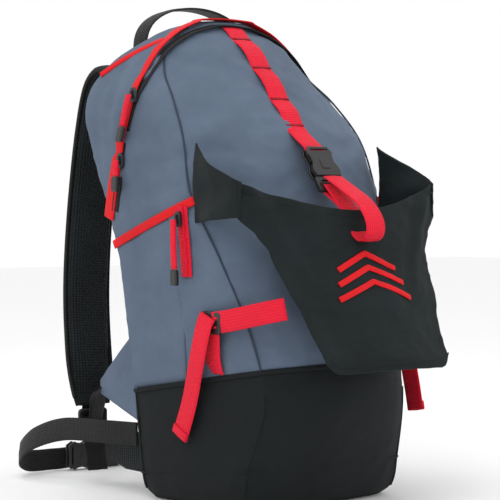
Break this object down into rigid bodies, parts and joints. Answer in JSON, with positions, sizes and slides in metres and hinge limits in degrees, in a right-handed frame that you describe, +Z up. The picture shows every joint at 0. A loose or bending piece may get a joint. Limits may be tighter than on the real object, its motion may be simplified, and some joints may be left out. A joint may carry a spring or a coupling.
{
  "type": "ski boot backpack",
  "caption": "Rucksack-shaped boot bag with a zipped lid, padded shoulder straps, hip belt and an outer sling that holds boots on its front.",
  "frame": {"origin": "on the floor under the middle of the base", "axes": "+Z up, -Y towards the sling, +Y towards the wearer's back, +X to the right side of the bag seen from the sling"},
  "size_m": [0.3051, 0.4987, 0.52],
  "materials": {
    "grey_fabric": "woven ripstop, matt",
    "black_fabric": "heavy woven, matt",
    "sling_fabric": "heavy woven, matt",
    "red_webbing": "ribbed webbing",
    "red_trim": "satin tape",
    "black_webbing": "ribbed webbing",
    "mesh_foam": "spacer mesh over foam",
    "zip_tape": "fine woven tape and coil",
    "black_plastic": "moulded acetal",
    "sheet_plastic": "extruded sheet",
    "slider_metal": "cast, satin"
  },
  "bodies": {
    "bag": {"back_panel": "grey_fabric", "base_shell": "black_fabric", "belt_buckle_socket": "black_plastic", "buckle_strap": "red_webbing", "frame_sheet": "sheet_plastic", "front_buckle_socket": "black_plastic", "front_panel": "grey_fabric", "handle_feet": "black_webbing", "hip_fins": "black_fabric", "ladder_locks": "black_plastic", "left_back_pad": "mesh_foam", "left_belt": "black_webbing", "left_gusset": "grey_fabric", "left_panel": "grey_fabric", "left_pocket": "grey_fabric", "left_pocket_binding": "red_trim", "left_pocket_zip": "red_trim", "lumbar_pad": "mesh_foam", "main_zip_tape": "zip_tape", "right_back_pad": "mesh_foam", "right_belt": "black_webbing", "right_gusset": "grey_fabric", "right_panel": "grey_fabric", "right_pocket": "grey_fabric", "right_pocket_binding": "red_trim", "right_pocket_zip": "red_trim", "side_wings": "grey_fabric", "sling_ears": "sling_fabric", "sling_side_straps": "red_webbing", "storm_flap": "red_trim", "strap_anchors": "red_webbing", "top_panel": "grey_fabric", "yoke_binding": "red_trim"},
    "lid": {"lid_front_panel": "grey_fabric", "lid_side_panels": "grey_fabric", "lid_zip_tape": "zip_tape", "daisy_chain": "red_webbing"},
    "upper_slider": {"upper_main_slider": "slider_metal"},
    "upper_tab": {"upper_main_pull": "red_trim"},
    "lower_slider": {"lower_main_slider": "slider_metal"},
    "lower_tab": {"lower_main_pull": "red_trim"},
    "handle": {"grab_handle": "black_webbing"},
    "sling": {"sling_panel": "sling_fabric", "sling_motif": "red_trim"},
    "front_plug": {"front_buckle_plug": "black_plastic", "sling_strap_tail": "red_webbing"},
    "belt_plug": {"belt_buckle_plug": "black_plastic"},
    "left_strap": {"left_shoulder_strap": "mesh_foam", "left_strap_lock": "black_plastic", "left_strap_webbing": "black_webbing"},
    "left_tail": {"left_strap_tail": "red_webbing"},
    "left_pocket_runner": {"left_pocket_slider": "slider_metal"},
    "left_pocket_tab": {"left_pocket_pull": "red_trim"},
    "right_strap": {"right_shoulder_strap": "mesh_foam", "right_strap_lock": "black_plastic", "right_strap_webbing": "black_webbing"},
    "right_tail": {"right_strap_tail": "red_webbing"},
    "right_pocket_runner": {"right_pocket_slider": "slider_metal"},
    "right_pocket_tab": {"right_pocket_pull": "red_trim"}
  },
  "joints": [
    {"name": "lid_open", "type": "hinge", "parent": "bag", "child": "lid", "pos_m": [0, -0.05, 0.372], "axis": [1, 0, 0], "range_deg": [0, 30]},
    {"name": "upper_main_zip", "type": "slide", "parent": "lid", "child": "upper_slider", "axis": [0.27, 0, 0.9629], "range_m": [0, 0.02]},
    {"name": "upper_pull_swing", "type": "hinge", "parent": "upper_slider", "child": "upper_tab", "pos_m": [-0.1334, 0.0645, 0.418], "axis": [0, 1, 0], "range_deg": [0, 75]},
    {"name": "lower_main_zip", "type": "slide", "parent": "bag", "child": "lower_slider", "axis": [-0.06, 0.1, -0.9932], "range_m": [0, 0.03]},
    {"name": "lower_pull_swing", "type": "hinge", "parent": "lower_slider", "child": "lower_tab", "pos_m": [-0.149, 0.0665, 0.35], "axis": [0, 1, 0], "range_deg": [0, 75]},
    {"name": "handle_fold", "type": "hinge", "parent": "bag", "child": "handle", "pos_m": [0, 0.141, 0.478], "axis": [1, 0, 0], "range_deg": [-30, 25]},
    {"name": "sling_swing", "type": "hinge", "parent": "bag", "child": "sling", "pos_m": [0, -0.107, 0.33], "axis": [-1, 0, 0], "range_deg": [0, 25], "deforming": ["sling_side_straps"]},
    {"name": "front_buckle_release", "type": "slide", "parent": "bag", "child": "front_plug", "axis": [0, -0.5708, -0.8211], "range_m": [0, 0.026], "deforming": ["sling_strap_tail"]},
    {"name": "belt_buckle_release", "type": "slide", "parent": "bag", "child": "belt_plug", "axis": [1, 0, 0], "range_m": [0, 0.028], "deforming": ["right_belt"]},
    {"name": "left_strap_swing", "type": "hinge", "parent": "bag", "child": "left_strap", "pos_m": [-0.074, 0.14, 0.442], "axis": [1, 0, 0], "range_deg": [-4, 10], "deforming": ["left_strap_webbing"]},
    {"name": "left_tail_swing", "type": "hinge", "parent": "bag", "child": "left_tail", "pos_m": [-0.1215, -0.05, 0.196], "axis": [0, 1, 0], "range_deg": [0, 60]},
    {"name": "left_pocket_zip_slide", "type": "slide", "parent": "bag", "child": "left_pocket_runner", "axis": [0.09, 0, -0.9959], "range_m": [0, 0.045]},
    {"name": "left_pocket_pull_swing", "type": "hinge", "parent": "left_pocket_runner", "child": "left_pocket_tab", "pos_m": [-0.1354, -0.02, 0.29], "axis": [0, 1, 0], "range_deg": [0, 75]},
    {"name": "right_strap_swing", "type": "hinge", "parent": "bag", "child": "right_strap", "pos_m": [0.074, 0.14, 0.442], "axis": [1, 0, 0], "range_deg": [-4, 10], "deforming": ["right_strap_webbing"]},
    {"name": "right_tail_swing", "type": "hinge", "parent": "bag", "child": "right_tail", "pos_m": [0.124, -0.054, 0.196], "axis": [0, -1, 0], "range_deg": [0, 60]},
    {"name": "right_pocket_zip_slide", "type": "slide", "parent": "bag", "child": "right_pocket_runner", "axis": [-0.09, 0, -0.9959], "range_m": [0, 0.045]},
    {"name": "right_pocket_pull_swing", "type": "hinge", "parent": "right_pocket_runner", "child": "right_pocket_tab", "pos_m": [0.1354, -0.02, 0.29], "axis": [0, -1, 0], "range_deg": [0, 75]}
  ]
}
